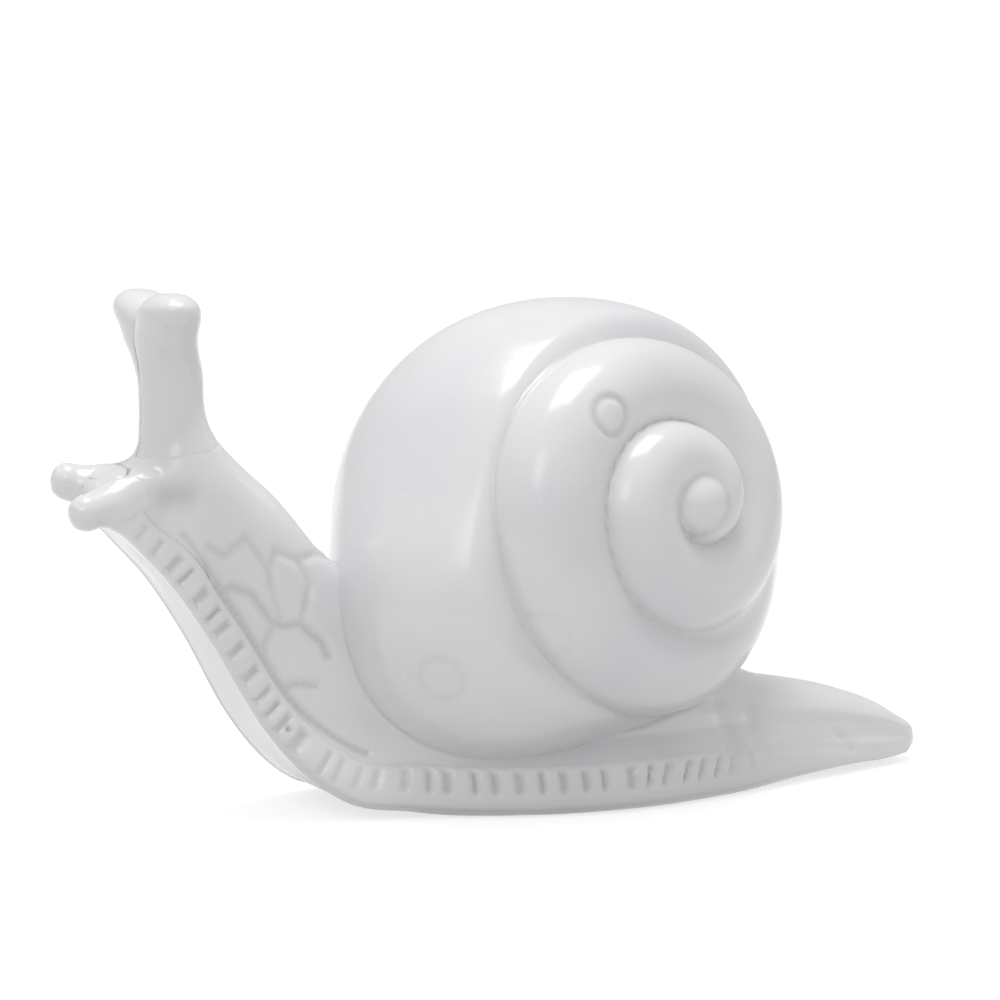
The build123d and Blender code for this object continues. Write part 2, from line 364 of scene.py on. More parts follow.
def shell_gap(points):
    """Distance from points to the round body of the shell and the bulge of its lip."""
    ball_gap = np.linalg.norm(points - ball_centre, axis=-1) - ball_radius
    lip_gap = np.linalg.norm(points - lip_centre, axis=-1) - lip_radius
    return np.minimum(ball_gap, lip_gap)


def horn_gap(points):
    """Distance from points to the nearest stalk or feeler."""
    return np.minimum(stalk_gap(points), feeler_gap(points))


body_points = swell(body_points, horn_gap, head_fillet(body_points))

# Crease against the shell: tight at the sides, wide behind the shell and at the nape
side_crease = 1.6 * mm
tail_crease = 10 * mm
tail_crease_start_x = 18 * mm
tail_crease_end_x = 58 * mm
nape_crease = 6 * mm
nape_crease_start_z = 42 * mm
nape_crease_end_z = 52 * mm
tail_weight = ramp(body_points[..., 0], tail_crease_start_x, tail_crease_end_x)
nape_weight = ramp(body_points[..., 2], nape_crease_start_z, nape_crease_end_z)
crease_reach = side_crease + tail_crease * tail_weight + nape_crease * nape_weight
crease_near = np.clip(crease_reach - shell_gap(body_points), 0, crease_reach)
crease_rise = crease_near**2 / (2 * crease_reach)
body_points = body_points + grid_normals(body_points) * crease_rise[..., None]
tucked_in = 0.3 * mm
for centre, radius in ((ball_centre, ball_radius), (lip_centre, lip_radius), (ball_centre, ball_radius)):
    outward = body_points - centre
    reach = np.linalg.norm(outward, axis=2, keepdims=True)
    seated = centre + outward / reach * (radius - tucked_in)
    seated[..., 2] = np.maximum(seated[..., 2], shell_seat_z - tucked_in)
    body_points = np.where(reach < radius - tucked_in, seated, body_points)
body_points[..., 2] = np.maximum(body_points[..., 2], sole_z - sole_lip)

# Scoring drawn into the clay, alike on both flanks: depth and half width in millimetres, how much it is
# darkened by pooled glaze and painted shade, and its line as places along the body and shares of the way
# round
score_lines = [
    (0.60, 1.6, 0.55, [(0.90, 0.615), (0.86, 0.61), (0.82, 0.61), (0.78, 0.62), (0.73, 0.625)]),
    (0.30, 1.5, 0.45, [(0.945, 0.635), (0.92, 0.625), (0.90, 0.615)]),
    (0.60, 1.5, 0.32, [(0.926, 0.66), (0.913, 0.67), (0.913, 0.755), (0.89, 0.745), (0.88, 0.72)]),
    (0.80, 1.6, 0.45, [(0.896, 0.62), (0.894, 0.645), (0.884, 0.67), (0.865, 0.67), (0.858, 0.687)]),
    (0.80, 1.6, 0.45, [(0.858, 0.687), (0.853, 0.73), (0.845, 0.737), (0.836, 0.75), (0.826, 0.74)]),
    (0.60, 1.5, 0.32, [(0.862, 0.67), (0.855, 0.628), (0.848, 0.613)]),
    (0.65, 1.5, 0.36, [(0.829, 0.613), (0.825, 0.645), (0.815, 0.67)]),
    (0.50, 1.4, 0.24, [(0.88, 0.72), (0.868, 0.70), (0.858, 0.687)]),
    (0.50, 1.5, 0.24, [(0.853, 0.73), (0.867, 0.82), (0.882, 0.84), (0.895, 0.80), (0.89, 0.745)]),
    (0.45, 1.5, 0.20, [(0.882, 0.84), (0.875, 0.92), (0.86, 1.0)]),
    (0.35, 2.3, 0.22, [(0.106, 0.58), (0.10, 0.53), (0.092, 0.47)]),
    (0.25, 2.4, 0.12, [(0.276, 0.55), (0.184, 0.52), (0.088, 0.50)]),
    (0.80, 3.4, 0.08, [(0.285, 0.80), (0.272, 0.70), (0.27, 0.58)]),
    (0.65, 3.2, 0.06, [(0.238, 0.78), (0.235, 0.68), (0.233, 0.58)]),
    (1.00, 1.1, 1.00, [(0.809, 0.43), (0.809, 0.43)]),
    # A soft hollow just under the stalk column, darkened as a painted shadow beneath the head
    (0.40, 6.0, 0.5, [(0.975, 0.70), (0.965, 0.74)]),
]
score_steps = 14
score_clearance = 1.5 * mm


def body_spot(place_share, around_share):
    """A point on one flank of the body."""
    ring = cap_count + np.interp(place_share, ring_places, np.arange(ring_count))
    column = np.interp(around_share, half_places, np.arange(half_count))
    low_ring, low_column = int(ring), min(int(column), half_count - 2)
    corner = body_points[low_ring:low_ring + 2, low_column:low_column + 2]
    ring_weight = np.array([1 - ring % 1, ring % 1])[:len(corner)]
    column_weight = np.array([1 - column + low_column, column - low_column])
    return np.einsum("ijk,i,j->k", corner, ring_weight, column_weight) / ring_weight.sum()


score_depth = np.zeros(body_points.shape[:2])
score_pool_and_shade = np.zeros(body_points.shape[:2])
for depth_mm, half_width_mm, pooling_and_shade, line_shares in score_lines:
    away = np.full(body_points.shape[:2], body_length)
    for (place_a, around_a), (place_b, around_b) in zip(line_shares, line_shares[1:]):
        for t in np.linspace(0, 1, score_steps):
            spot = body_spot(place_a + (place_b - place_a) * t, around_a + (around_b - around_a) * t)
            for flank in (1, -1):
                flank_spot = spot * np.array([1, flank, 1])
                away = np.minimum(away, np.linalg.norm(body_points - flank_spot, axis=2))
    profile = 1 - ramp(away, 0, half_width_mm * mm)
    score_depth = np.maximum(score_depth, profile * depth_mm * mm)
    score_pool_and_shade = np.maximum(score_pool_and_shade, profile**2 * pooling_and_shade)
clear_of_shell = ramp(shell_gap(body_points), 0, score_clearance)
body_points = body_points - grid_normals(body_points) * (score_depth * clear_of_shell)[..., None]

# Where the fringe is ribbed, and how far along it each point lies
rib_strength_shares = [
    (0.0, 0.0), (0.20, 0.0), (0.25, 0.35), (0.31, 0.75), (0.42, 1.0), (0.64, 1.0),
    (0.69, 0.45), (0.75, 0.35), (0.80, 0.8), (0.93, 0.85), (0.97, 0.4), (1.0, 0.0),
]
rib_slant = 16 * mm
rib_foot_blend_share = 0.05
rib_top_blend_share = 0.045
fringe_edge_share = 0.45
slant_pivot_share = 0.48
strength = np.interp(places, *np.array(rib_strength_shares).T)
neck_share = ramp(places, 0.70, 0.80)[:, None]
rib_foot_share = 0.40 - 0.10 * neck_share
rib_top_share = 0.575 - 0.035 * neck_share
band = ramp((around_places - rib_foot_share) / rib_foot_blend_share, 0, 1)
band = band * (1 - ramp((around_places - rib_top_share) / rib_top_blend_share, -1, 0))
rib_band = strength[:, None] * band
edge_index = int(np.argmin(np.abs(half_places - fringe_edge_share)))
edge_lengths = lengths_along(body_points[:, edge_index])
slanting = ramp(places, 0.22, 0.30) * (1 - ramp(places, 0.36, 0.44))
rib_along = edge_lengths[:, None] + rib_slant * slanting[:, None] * (around_places - slant_pivot_share)


def make_mesh(name, points, quads):
    """A smooth shaded mesh from points and four sided faces."""
    mesh = bpy.data.meshes.new(name)
    mesh.from_pydata(points.reshape(-1, 3).tolist(), [], quads.tolist())
    mesh.update()
    mesh.shade_smooth()
    return mesh


def close_poles(mesh):
    """Merges the points that lie on one another at the ends of a tube, so that its skin is closed."""
    editing = bmesh.new()
    editing.from_mesh(mesh)
    bmesh.ops.remove_doubles(editing, verts=editing.verts, dist=touching)
    editing.to_mesh(mesh)
    editing.free()


def add_object(name, mesh, material):
    """Puts a mesh into the scene as one piece, at the origin."""
    mesh.materials.clear()
    mesh.materials.append(material)
    piece = bpy.data.objects.new(name, mesh)
    bpy.context.scene.collection.objects.link(piece)
    return piece


def store(mesh, name, values):
    """Keeps one number for each point of a mesh."""
    attribute = mesh.attributes.new(name, "FLOAT", "POINT")
    attribute.data.foreach_set("value", np.asarray(values, np.float32).ravel())


def link(tree, source, target):
    """Joins an output to an input, or writes a plain number there."""
    if isinstance(source, bpy.types.NodeSocket):
        tree.links.new(source, target)
    else:
        target.default_value = source


def add_node(tree, kind, settings=None, **inputs):
    """Adds a node, with its settings and its inputs by name."""
    node = tree.nodes.new(kind)
    for key, value in (settings or {}).items():
        setattr(node, key, value)
    for key, value in inputs.items():
        link(tree, value, node.inputs[key.replace("_", " ")])
    return node


def glaze_material(name, pool_and_shade_colour, tint_colour):
    """Glossy white glaze: darker in its grooves and creases, partly as pooled glaze and partly as painted
    shade, with a faint drifting tint and a skin of orange peel.
    """
    white = (0.79, 0.79, 0.795, 1)
    peel_depth = 0.12 * mm
    wave_weight = 5.0
    material = bpy.data.materials.new(name)
    material.use_nodes = True
    tree = material.node_tree
    shader = tree.nodes["Principled BSDF"]
    place = add_node(tree, "ShaderNodeTexCoord").outputs["Object"]
    drift = add_node(tree, "ShaderNodeTexNoise", Vector=place, Scale=26.0, Detail=2.0, Roughness=0.45)
    drift_band = add_node(
        tree, "ShaderNodeMapRange", {"interpolation_type": "SMOOTHSTEP"},
        Value=drift.outputs["Fac"], From_Min=0.42, From_Max=0.68, To_Min=0.0, To_Max=0.55,
    )
    tinted = add_node(
        tree, "ShaderNodeMix", {"data_type": "RGBA"},
        Factor=drift_band.outputs["Result"], A=white, B=tint_colour,
    )
    pool_and_shade = add_node(tree, "ShaderNodeAttribute", {"attribute_name": "pool_and_shade"})
    pooled_and_shaded = add_node(
        tree, "ShaderNodeMix", {"data_type": "RGBA"},
        Factor=pool_and_shade.outputs["Fac"], A=tinted.outputs["Result"], B=pool_and_shade_colour,
    )
    link(tree, pooled_and_shaded.outputs["Result"], shader.inputs["Base Color"])
    sheen_drift = add_node(tree, "ShaderNodeTexNoise", Vector=place, Scale=60.0, Detail=3.0)
    roughness = add_node(
        tree, "ShaderNodeMapRange", Value=sheen_drift.outputs["Fac"],
        From_Min=0.3, From_Max=0.7, To_Min=0.16, To_Max=0.28,
    )
    link(tree, roughness.outputs["Result"], shader.inputs["Roughness"])
    peel = add_node(tree, "ShaderNodeTexNoise", Vector=place, Scale=420.0, Detail=2.0, Roughness=0.5)
    waves = add_node(tree, "ShaderNodeTexNoise", Vector=place, Scale=85.0, Detail=1.0)
    skin = add_node(tree, "ShaderNodeMath", {"operation": "MULTIPLY_ADD"})
    link(tree, waves.outputs["Fac"], skin.inputs[0])
    skin.inputs[1].default_value = wave_weight
    link(tree, peel.outputs["Fac"], skin.inputs[2])
    bump = add_node(
        tree, "ShaderNodeBump", Height=skin.outputs["Value"], Strength=0.35, Distance=peel_depth
    )
    link(tree, bump.outputs["Normal"], shader.inputs["Normal"])
    shader.inputs["IOR"].default_value = 1.5
    shader.inputs["Coat Weight"].default_value = 0.25
    shader.inputs["Coat Roughness"].default_value = 0.13
    return material


class Field:
    """A number that runs through a node tree, so that a formula there reads as a formula."""

    def __init__(self, tree, socket):
        self.tree = tree
        self.socket = socket

    def step(self, operation, *others):
        node = self.tree.nodes.new("ShaderNodeMath")
        node.operation = operation
        for value, target in zip((self, *others), node.inputs):
            link(self.tree, value.socket if isinstance(value, Field) else value, target)
        return Field(self.tree, node.outputs["Value"])

    def __add__(self, other):
        return self.step("ADD", other)

    def __sub__(self, other):
        return self.step("SUBTRACT", other)

    def __mul__(self, other):
        return self.step("MULTIPLY", other)

    def __truediv__(self, other):
        return self.step("DIVIDE", other)


def start_tree(name, sizes, has_mesh):
    """A Geometry Nodes tree with named inputs for its sizes. Gives the tree, its input and output nodes."""
    tree = bpy.data.node_groups.new(name, "GeometryNodeTree")
    if has_mesh:
        tree.interface.new_socket("Mesh", in_out="INPUT", socket_type="NodeSocketGeometry")
    for size_name in sizes:
        tree.interface.new_socket(size_name, in_out="INPUT", socket_type="NodeSocketFloat")
    tree.interface.new_socket("Mesh", in_out="OUTPUT", socket_type="NodeSocketGeometry")
    return tree, tree.nodes.new("NodeGroupInput"), tree.nodes.new("NodeGroupOutput")


def finish_tree(tree, geometry, material, output):
    """Ends a tree in Realize Instances, smooth shading and its material."""
    real = add_node(tree, "GeometryNodeRealizeInstances", Geometry=geometry)
    smooth = add_node(tree, "GeometryNodeSetShadeSmooth", Geometry=real.outputs["Geometry"])
    painted = add_node(tree, "GeometryNodeSetMaterial", Geometry=smooth.outputs["Geometry"])
    painted.inputs["Material"].default_value = material
    link(tree, painted.outputs["Geometry"], output.inputs["Mesh"])


def apply_tree(piece, tree, sizes, material):
    """Runs a tree on a piece and leaves the plain mesh that it makes."""
    modifier = piece.modifiers.new(tree.name, "NODES")
    modifier.node_group = tree
    for item in tree.interface.items_tree:
        if item.in_out == "INPUT" and item.name in sizes:
            modifier[item.identifier] = sizes[item.name]
    graph = bpy.context.evaluated_depsgraph_get()
    made = bpy.data.meshes.new_from_object(piece.evaluated_get(graph))
    piece.modifiers.clear()
    piece.data = made
    piece.data.name = piece.name
    piece.data.materials.clear()
    piece.data.materials.append(material)


# The darker colour given to each glaze is for pooled glaze and painted shade in grooves and creases
body_glaze = glaze_material("white_body_glaze", (0.52, 0.50, 0.475, 1), (0.735, 0.735, 0.755, 1))
body_mesh = make_mesh("snail_body", body_points, tube_faces(*body_points.shape[:2]))
store(body_mesh, "rib_band", rib_band)
store(body_mesh, "rib_along", rib_along)
# Painted shade, partly pooled glaze, darkens the crease where the body meets the shell, fading out towards
# the tail
crease_pool_and_shade = 0.9
crease_pool_and_shade_width = 1.3 * mm
crease_pool_and_shade_start_x = 20 * mm
crease_pool_and_shade_end_x = 50 * mm
crease_shade_line = 1 - ramp(shell_gap(body_points), 0, crease_pool_and_shade_width)
crease_shade_line = crease_shade_line * (1 - ramp(body_points[..., 0], crease_pool_and_shade_start_x, crease_pool_and_shade_end_x))
store(body_mesh, "pool_and_shade", np.maximum(crease_pool_and_shade * crease_shade_line, score_pool_and_shade))
body = add_object("snail_body", body_mesh, body_glaze)

# Fringe carving: narrow slots cut across the band at an even pitch that wanders a little
carving_sizes = {
    "Rib pitch": 4.6 * mm,
    "Slot half width": 1.25 * mm,
    "Slot depth": 1.35 * mm,
    "Wander": 1.05,
}
# Darkening of the slots, as pooled glaze and painted shade
slot_pool_and_shade = 0.42
carving, inputs, outputs = start_tree("fringe_carving", carving_sizes, True)
along = add_node(carving, "GeometryNodeInputNamedAttribute", {"data_type": "FLOAT"}, Name="rib_along")
band_weight = add_node(carving, "GeometryNodeInputNamedAttribute", {"data_type": "FLOAT"}, Name="rib_band")
wander = add_node(
    carving, "ShaderNodeTexNoise", {"noise_dimensions": "1D"},
    W=along.outputs["Attribute"], Scale=90.0, Detail=1.0,
)
pitch = Field(carving, inputs.outputs["Rib pitch"])
turn = Field(carving, along.outputs["Attribute"]) / pitch
turn = turn + Field(carving, wander.outputs["Fac"]) * inputs.outputs["Wander"]
off_slot = (turn.step("FRACT") - 0.5).step("ABSOLUTE") * pitch
slot = add_node(
    carving, "ShaderNodeMapRange", {"interpolation_type": "SMOOTHSTEP"}, Value=off_slot.socket,
    From_Min=0.0, From_Max=inputs.outputs["Slot half width"], To_Min=1.0, To_Max=0.0,
)
cut = Field(carving, slot.outputs["Result"]) * band_weight.outputs["Attribute"]
sink = cut * inputs.outputs["Slot depth"] * -1.0
normal = add_node(carving, "GeometryNodeInputNormal")
offset = add_node(carving, "ShaderNodeVectorMath", {"operation": "SCALE"}, Vector=normal.outputs["Normal"])
link(carving, sink.socket, offset.inputs["Scale"])
carved = add_node(
    carving, "GeometryNodeSetPosition", Geometry=inputs.outputs["Mesh"], Offset=offset.outputs["Vector"]
)
pool_and_shade_level = Field(carving, add_node(
    carving, "GeometryNodeInputNamedAttribute", {"data_type": "FLOAT"}, Name="pool_and_shade"
).outputs["Attribute"]).step("MAXIMUM", cut * slot_pool_and_shade)
pooled_and_shaded_mesh = add_node(
    carving, "GeometryNodeStoreNamedAttribute", {"data_type": "FLOAT", "domain": "POINT"},
    Geometry=carved.outputs["Geometry"], Name="pool_and_shade", Value=pool_and_shade_level.socket,
)
closed = add_node(
    carving, "GeometryNodeMergeByDistance", Geometry=pooled_and_shaded_mesh.outputs["Geometry"], Distance=touching
)
finish_tree(carving, closed.outputs["Geometry"], body_glaze, outputs)
apply_tree(body, carving, carving_sizes, body_glaze)
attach(body, "root")
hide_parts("body")

# Shell: a round hollow casting in the same white clay, its spire a tube that winds three times round
# and sinks into the body whorl. It is luted into the saddle of the back and glazed in one skin with it.
spire_turn = math.radians(-70.5)
spire_lift = math.radians(12.5)
spire_out = Vector((
    math.cos(spire_lift) * math.cos(spire_turn),
    math.cos(spire_lift) * math.sin(spire_turn),
    math.sin(spire_lift),
))
spire_up = (Vector((0, 0, 1)) - spire_out * spire_out.z).normalized()
spire_left = spire_out.cross(spire_up)
shell_centre = Vector((14, 0, 54)) * mm
shell_sizes = {
    "Ball radius": ball_radius,
    "Spire shelf": 24.5 * mm,
    "Suture softness": 0.7 * mm,
    "Seat height": shell_seat_z,
}
# Turns from the middle as a share of them all, distance from the spire axis, height on it and tube radius,
# as shares of the shell's radius
turn_count = 2.75
whorl_shares = [
    (0.0, 0.022, 0.820, 0.080),
    (0.25, 0.066, 0.855, 0.110),
    (0.5, 0.122, 0.865, 0.140),
    (0.75, 0.192, 0.812, 0.178),
    (1.0, 0.260, 0.752, 0.212),
    (1.25, 0.336, 0.704, 0.227),
    (1.5, 0.417, 0.660, 0.242),
    (1.75, 0.505, 0.617, 0.253),
    (2.0, 0.594, 0.570, 0.265),
    (2.25, 0.629, 0.492, 0.262),
    (2.5, 0.590, 0.392, 0.246),
    (2.75, 0.546, 0.290, 0.218),
]
shoulder_shift = np.array([6.9, -1.9, 7.0]) * mm
shoulder_centre = ball_centre + shoulder_shift
shoulder_radius = 37.4 * mm
lip_blend = 22 * mm
shoulder_blend = 5 * mm
shelf_blend = 9 * mm
shelf_edge_cosine = 0.12
blurred_turn = math.radians(240)
blurred_start_angle = 0.12
blurred_end_angle = 0.5
blurred_softening = 11.0
apex_soft_start_angle = 0.1
apex_soft_end_angle = 0.4
apex_softening = 2.2
# Darkening of the sutures between the whorls, as pooled glaze and painted shade, weaker on the blurred side
pool_and_shade_width = 3.2 * mm
pool_and_shade_strength = 3.2
blurred_pool_and_shade_loss = 2.4
coil_pitch = 13 * mm
coil_half_width = 3.2 * mm
coil_depth = 1.1 * mm
coil_fade_start = 20 * mm
coil_fade_end = 38 * mm
coil_eye_start = 2 * mm
coil_eye_end = 7 * mm
coil_pool_and_shade = 0.5
dimple_radius = 9 * mm
dimple_depth = 2.4 * mm
apex_height = 40 * mm
apex_radius = 6.8 * mm
# Its darker colour is for pooled glaze and painted shade in the sutures, the coil groove and the rings
shell_glaze = glaze_material("white_shell_glaze", (0.56, 0.545, 0.53, 1), (0.70, 0.695, 0.735, 1))
winding, inputs, outputs = start_tree("shell_winding", shell_sizes, False)
across_count = 420
down_count = 230
grid = add_node(
    winding, "GeometryNodeMeshGrid", Size_X=1.0, Size_Y=1.0, Vertices_X=across_count, Vertices_Y=down_count
)
flat_position = add_node(winding, "GeometryNodeInputPosition").outputs["Position"]
grid_place = add_node(winding, "ShaderNodeSeparateXYZ", Vector=flat_position)
round_share = Field(winding, grid_place.outputs["X"]) + 0.5
down_share = Field(winding, grid_place.outputs["Y"]) + 0.5
round_angle = round_share * (2 * math.pi)
down_angle = down_share * math.pi
sine = down_angle.step("SINE")
cosine = down_angle.step("COSINE")


def read_whorl(turn, column):
    """The winding's table at a turn: one column of it, in metres."""
    node = add_node(winding, "ShaderNodeFloatCurve")
    curve = node.mapping.curves[0]
    knots = [(row[0] / turn_count, row[column]) for row in whorl_shares]
    for _ in knots[2:]:
        curve.points.new(0.5, 0.5)
    for point, (x, y) in zip(curve.points, knots):
        point.location = (x, y)
    node.mapping.update()
    link(winding, (turn / turn_count).socket, node.inputs["Value"])
    return Field(winding, node.outputs["Value"]) * inputs.outputs["Ball radius"]


def ray_to_tube(distance, height, radius):
    """How far from the middle a ray leaves the whorl tube, or a falling value where it misses."""
    along = distance * sine + height * cosine
    miss = distance * distance + height * height - along * along
    inside = radius * radius - miss
    return along + inside.step("SIGN") * inside.step("ABSOLUTE").step("SQRT")


def ray_to_ball(centre, radius):
    """How far from the middle a ray leaves a ball that holds the middle."""
    ball_offset = Vector(centre) - shell_centre
    upward_part = round_angle.step("COSINE") * ball_offset.dot(spire_up)
    leftward_part = round_angle.step("SINE") * ball_offset.dot(spire_left)
    toward = (upward_part + leftward_part) * sine + cosine * ball_offset.dot(spire_out)
    return toward + (toward * toward + (radius * radius - ball_offset.length_squared)).step("SQRT")


def fall(field, start, end):
    """Falls smoothly from 1 at start to 0 at end."""
    node = add_node(
        winding, "ShaderNodeMapRange", {"interpolation_type": "SMOOTHSTEP"}, Value=field.socket,
        From_Min=start, From_Max=end, To_Min=1.0, To_Max=0.0,
    )
    return Field(winding, node.outputs["Result"])


# Body whorl: a ball that swells into the lip at its lower front and is flattened under the spire
core = ray_to_ball(ball_centre, ball_radius)
core = core.step("SMOOTH_MAX", ray_to_ball(lip_centre, lip_radius), lip_blend)
core = core.step("SMOOTH_MAX", ray_to_ball(shoulder_centre, shoulder_radius), shoulder_blend)
shelf = Field(winding, inputs.outputs["Spire shelf"]) / cosine.step("MAXIMUM", shelf_edge_cosine)
core = core.step("SMOOTH_MIN", shelf, shelf_blend)
skin = core
sharp = core
pooled_and_shaded_skin = core
nothing = round_share * 0.0
apex = ray_to_tube(nothing, nothing + apex_height, nothing + apex_radius)
tubes = [apex]
for whorl_index in range(3):
    turn = round_share - 0.25 + float(whorl_index)
    tube = ray_to_tube(*(read_whorl(turn, column) for column in (1, 2, 3)))
    inside_table = turn.step("GREATER_THAN", 0.0) * turn.step("LESS_THAN", turn_count)
    tubes.append(tube * inside_table)
blurred_side = (round_angle - blurred_turn).step("COSINE").step("MAXIMUM", 0.0)
blurred_side = blurred_side * (fall(down_angle, blurred_start_angle, blurred_end_angle) * -1.0 + 1.0)
apex_side = fall(down_angle, apex_soft_start_angle, apex_soft_end_angle)
softening = blurred_side * blurred_side * blurred_softening + apex_side * apex_softening + 1.0
softness = softening * inputs.outputs["Suture softness"]
for tube in tubes:
    skin = skin.step("SMOOTH_MAX", tube, softness)
    sharp = sharp.step("MAXIMUM", tube)
    pooled_and_shaded_skin = pooled_and_shaded_skin.step("SMOOTH_MAX", tube, pool_and_shade_width)
# Painted shade, partly pooled glaze, darkens the sutures where the tubes meet
suture_pool_and_shade = (pooled_and_shaded_skin - sharp) / pool_and_shade_width * (blurred_side * -blurred_pool_and_shade_loss + pool_and_shade_strength)

# Far side: the coil shows as a shallow spiral groove round a dimple; the groove is darkened as pooled glaze
# and painted shade
far_arc = (down_angle * -1.0 + math.pi) * ball_radius
coil_phase = far_arc / coil_pitch - round_share
off_coil = (coil_phase.step("FRACT") - 0.5).step("ABSOLUTE") * coil_pitch
coil_groove = fall(off_coil, 0.0, coil_half_width) * fall(far_arc, coil_fade_start, coil_fade_end)
coil_groove = coil_groove * (fall(far_arc, coil_eye_start, coil_eye_end) * -1.0 + 1.0)
skin = skin - coil_groove * coil_depth - fall(far_arc, 0.0, dimple_radius) * dimple_depth
suture_pool_and_shade = suture_pool_and_shade.step("MAXIMUM", coil_groove * coil_pool_and_shade)
flat_place = add_node(winding, "ShaderNodeCombineXYZ")
link(winding, (sine * round_angle.step("COSINE") * skin).socket, flat_place.inputs["X"])
link(winding, (sine * round_angle.step("SINE") * skin).socket, flat_place.inputs["Y"])
link(winding, (cosine * skin).socket, flat_place.inputs["Z"])
parts = add_node(winding, "ShaderNodeSeparateXYZ", Vector=flat_place.outputs["Vector"])
place = shell_centre
for axis, direction in (("X", spire_up), ("Y", spire_left), ("Z", spire_out)):
    scaled = add_node(winding, "ShaderNodeVectorMath", {"operation": "SCALE"})
    scaled.inputs[0].default_value = direction
    link(winding, parts.outputs[axis], scaled.inputs["Scale"])
    summed = add_node(winding, "ShaderNodeVectorMath", {"operation": "ADD"})
    link(winding, place, summed.inputs[0])
    link(winding, scaled.outputs["Vector"], summed.inputs[1])
    place = summed.outputs["Vector"]
pooled_and_shaded_grid = add_node(
    winding, "GeometryNodeStoreNamedAttribute", {"data_type": "FLOAT", "domain": "POINT"},
    Geometry=grid.outputs["Mesh"], Name="pool_and_shade",
    Value=add_node(winding, "ShaderNodeClamp", Value=suture_pool_and_shade.socket).outputs["Result"],
)
wound = add_node(winding, "GeometryNodeSetPosition", Geometry=pooled_and_shaded_grid.outputs["Geometry"], Position=place)
skin_place = add_node(winding, "GeometryNodeInputPosition").outputs["Position"]
shell_place = add_node(winding, "ShaderNodeSeparateXYZ", Vector=skin_place)
seat_level = Field(winding, shell_place.outputs["Z"]).step("MAXIMUM", inputs.outputs["Seat height"])
seated_place = add_node(
    winding, "ShaderNodeCombineXYZ",
    X=shell_place.outputs["X"], Y=shell_place.outputs["Y"], Z=seat_level.socket,
)
standing = add_node(
    winding, "GeometryNodeSetPosition",
    Geometry=wound.outputs["Geometry"], Position=seated_place.outputs["Vector"],
)
closed = add_node(
    winding, "GeometryNodeMergeByDistance", Geometry=standing.outputs["Geometry"], Distance=touching
)
turned_out = add_node(winding, "GeometryNodeFlipFaces", Mesh=closed.outputs["Geometry"])

# Shallow rings pressed into the shell, darkened with their depth as pooled glaze and painted shade: middle,
# radius and depth in millimetres
shell_marks = [
    (Vector((8.7, -38.6, 81.8)), 4.0, 0.55),
    (Vector((-26.2, -33.0, 30.3)), 4.6, 0.22),
    (Vector((-7.8, -41.3, 38.7)), 5.2, 0.12),
]
mark_half_width = 1.4 * mm
full_pool_and_shade_depth = 1.2 * mm
dent = nothing
for middle_mm, radius_mm, depth_mm in shell_marks:
    from_middle = add_node(winding, "ShaderNodeVectorMath", {"operation": "DISTANCE"})
    link(winding, skin_place, from_middle.inputs[0])
    from_middle.inputs[1].default_value = middle_mm * mm
    off_ring = (Field(winding, from_middle.outputs["Value"]) - radius_mm * mm).step("ABSOLUTE")
    dent = dent + fall(off_ring, 0.0, mark_half_width) * (depth_mm * mm)
pool_and_shade_so_far = add_node(winding, "GeometryNodeInputNamedAttribute", {"data_type": "FLOAT"}, Name="pool_and_shade")
mark_pool_and_shade = (dent / full_pool_and_shade_depth).step("MAXIMUM", pool_and_shade_so_far.outputs["Attribute"])
pooled_and_shaded_mesh = add_node(
    winding, "GeometryNodeStoreNamedAttribute", {"data_type": "FLOAT", "domain": "POINT"},
    Geometry=turned_out.outputs["Mesh"], Name="pool_and_shade", Value=mark_pool_and_shade.socket,
)
inward = add_node(winding, "ShaderNodeVectorMath", {"operation": "SCALE"})
link(winding, add_node(winding, "GeometryNodeInputNormal").outputs["Normal"], inward.inputs[0])
link(winding, (dent * -1.0).socket, inward.inputs["Scale"])
marked = add_node(
    winding, "GeometryNodeSetPosition",
    Geometry=pooled_and_shaded_mesh.outputs["Geometry"], Offset=inward.outputs["Vector"],
)
finish_tree(winding, marked.outputs["Geometry"], shell_glaze, outputs)
shell = add_object("spiral_shell", bpy.data.meshes.new("spiral_shell"), shell_glaze)
apply_tree(shell, winding, shell_sizes, shell_glaze)
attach(shell, "root")
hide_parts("shell")

# Eye stalks: two clay stalks pressed side by side that part towards their knobs.
# Their roots are luted into the head and smoothed into it with slip.
stalk_glaze = glaze_material("white_stalk_glaze", (0.52, 0.50, 0.475, 1), (0.74, 0.74, 0.755, 1))


def stalk_neighbour_gap(points):
    """Distance from points to the head or the nearer feeler."""
    return np.minimum(body_gap(points), feeler_gap(points))


for name, side, stretch in (("left_eye_stalk", -1, left_stalk_stretch), ("right_eye_stalk", 1, 1)):
    points = bare_stalk(side, stretch)
    points = swell(points, stalk_neighbour_gap, head_fillet(points))
    points[..., 1] = np.maximum(points[..., 1] * side, 0) * side
    stalk_mesh = make_mesh(name, points, tube_faces(*points.shape[:2]))
    store(stalk_mesh, "pool_and_shade", np.zeros(points.shape[:2]))
    close_poles(stalk_mesh)
    stalk = add_object("snail_" + name, stalk_mesh, stalk_glaze)
    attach(stalk, "root")
    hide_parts(name)

# Feelers: two short clay rods with round tips on the front of the head, the left one drooping a little.
# They are luted on like the stalks.
feeler_glaze = glaze_material("white_feeler_glaze", (0.52, 0.50, 0.475, 1), (0.74, 0.74, 0.755, 1))


def feeler_neighbour_gap(points):
    """Distance from points to the head or the stalks."""
    return np.minimum(body_gap(points), stalk_gap(points))


